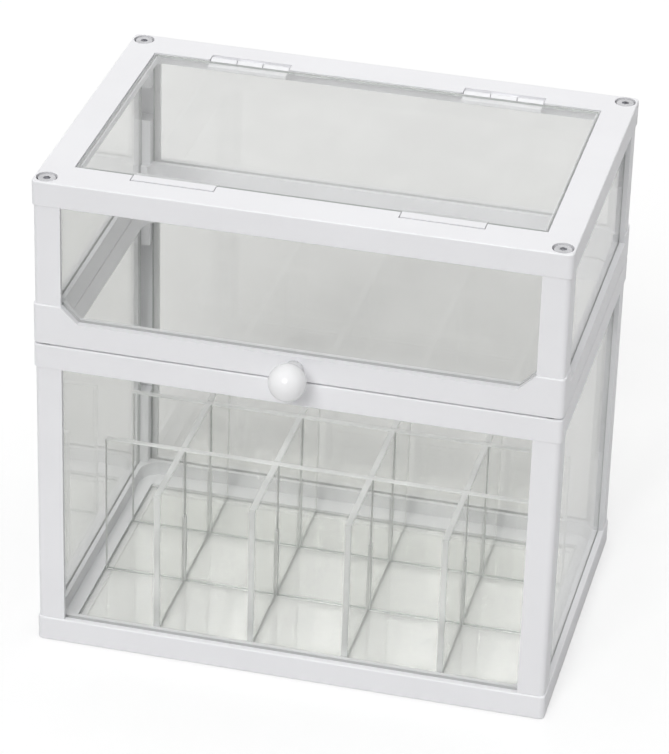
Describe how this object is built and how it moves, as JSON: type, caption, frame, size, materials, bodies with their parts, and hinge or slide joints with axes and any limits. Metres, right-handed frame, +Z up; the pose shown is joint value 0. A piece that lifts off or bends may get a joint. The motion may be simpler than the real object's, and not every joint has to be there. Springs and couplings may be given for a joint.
{
  "type": "makeup organizer case",
  "caption": "Clear makeup case in white moulded frames, with a divider grid inside, a knob to lift the rear-hinged upper case as a lid, and a clear hinged flap in its top opening",
  "frame": {"origin": "on the floor plane under the middle of the whole object, knob and hinges included", "axes": "+X to the right as seen from the front, +Y towards the rear, +Z up; the front with the knob faces -Y"},
  "size_m": [0.24, 0.1878, 0.238],
  "materials": {
    "white_plastic": "satin moulded",
    "knob_white": "gloss",
    "clear_glass": "polished clear",
    "clear_acrylic": "polished clear",
    "steel": "plated"
  },
  "bodies": {
    "base": {"base_pane": "clear_glass", "base_ring": "white_plastic", "base_screws": "steel", "divider_cross_1": "clear_acrylic", "divider_cross_2": "clear_acrylic", "divider_long_1": "clear_acrylic", "divider_long_2": "clear_acrylic", "divider_long_3": "clear_acrylic", "divider_long_4": "clear_acrylic", "lid_hinge_pins": "steel", "lower_pane_front": "clear_glass", "lower_pane_left": "clear_glass", "lower_pane_rear": "clear_glass", "lower_pane_right": "clear_glass", "lower_post_front_left": "white_plastic", "lower_post_front_right": "white_plastic", "lower_post_rear_left": "white_plastic", "lower_post_rear_right": "white_plastic", "rim_ring": "white_plastic", "rim_screws": "steel"},
    "lid": {"flap_hinge_pins": "steel", "knob": "knob_white", "knob_screw": "steel", "lid_pane_front": "clear_glass", "lid_pane_left": "clear_glass", "lid_pane_rear": "clear_glass", "lid_pane_right": "clear_glass", "lid_post_front_left": "white_plastic", "lid_post_front_right": "white_plastic", "lid_post_rear_left": "white_plastic", "lid_post_rear_right": "white_plastic", "lid_ring": "white_plastic", "lid_ring_screws": "steel", "top_ring": "white_plastic", "top_screws": "steel"},
    "flap": {"flap_hinge_left": "white_plastic", "flap_hinge_right": "white_plastic", "flap_pane": "clear_glass", "flap_tab_left": "white_plastic", "flap_tab_right": "white_plastic"}
  },
  "joints": [
    {"name": "lid_hinge", "type": "hinge", "parent": "base", "child": "lid", "pos_m": [0, 0.0907, 0.1573], "axis": [-1, 0, 0], "range_deg": [0, 100]},
    {"name": "flap_hinge", "type": "hinge", "parent": "lid", "child": "flap", "pos_m": [0, 0.0714, 0.2358], "axis": [-1, 0, 0], "range_deg": [0, 100]}
  ]
}
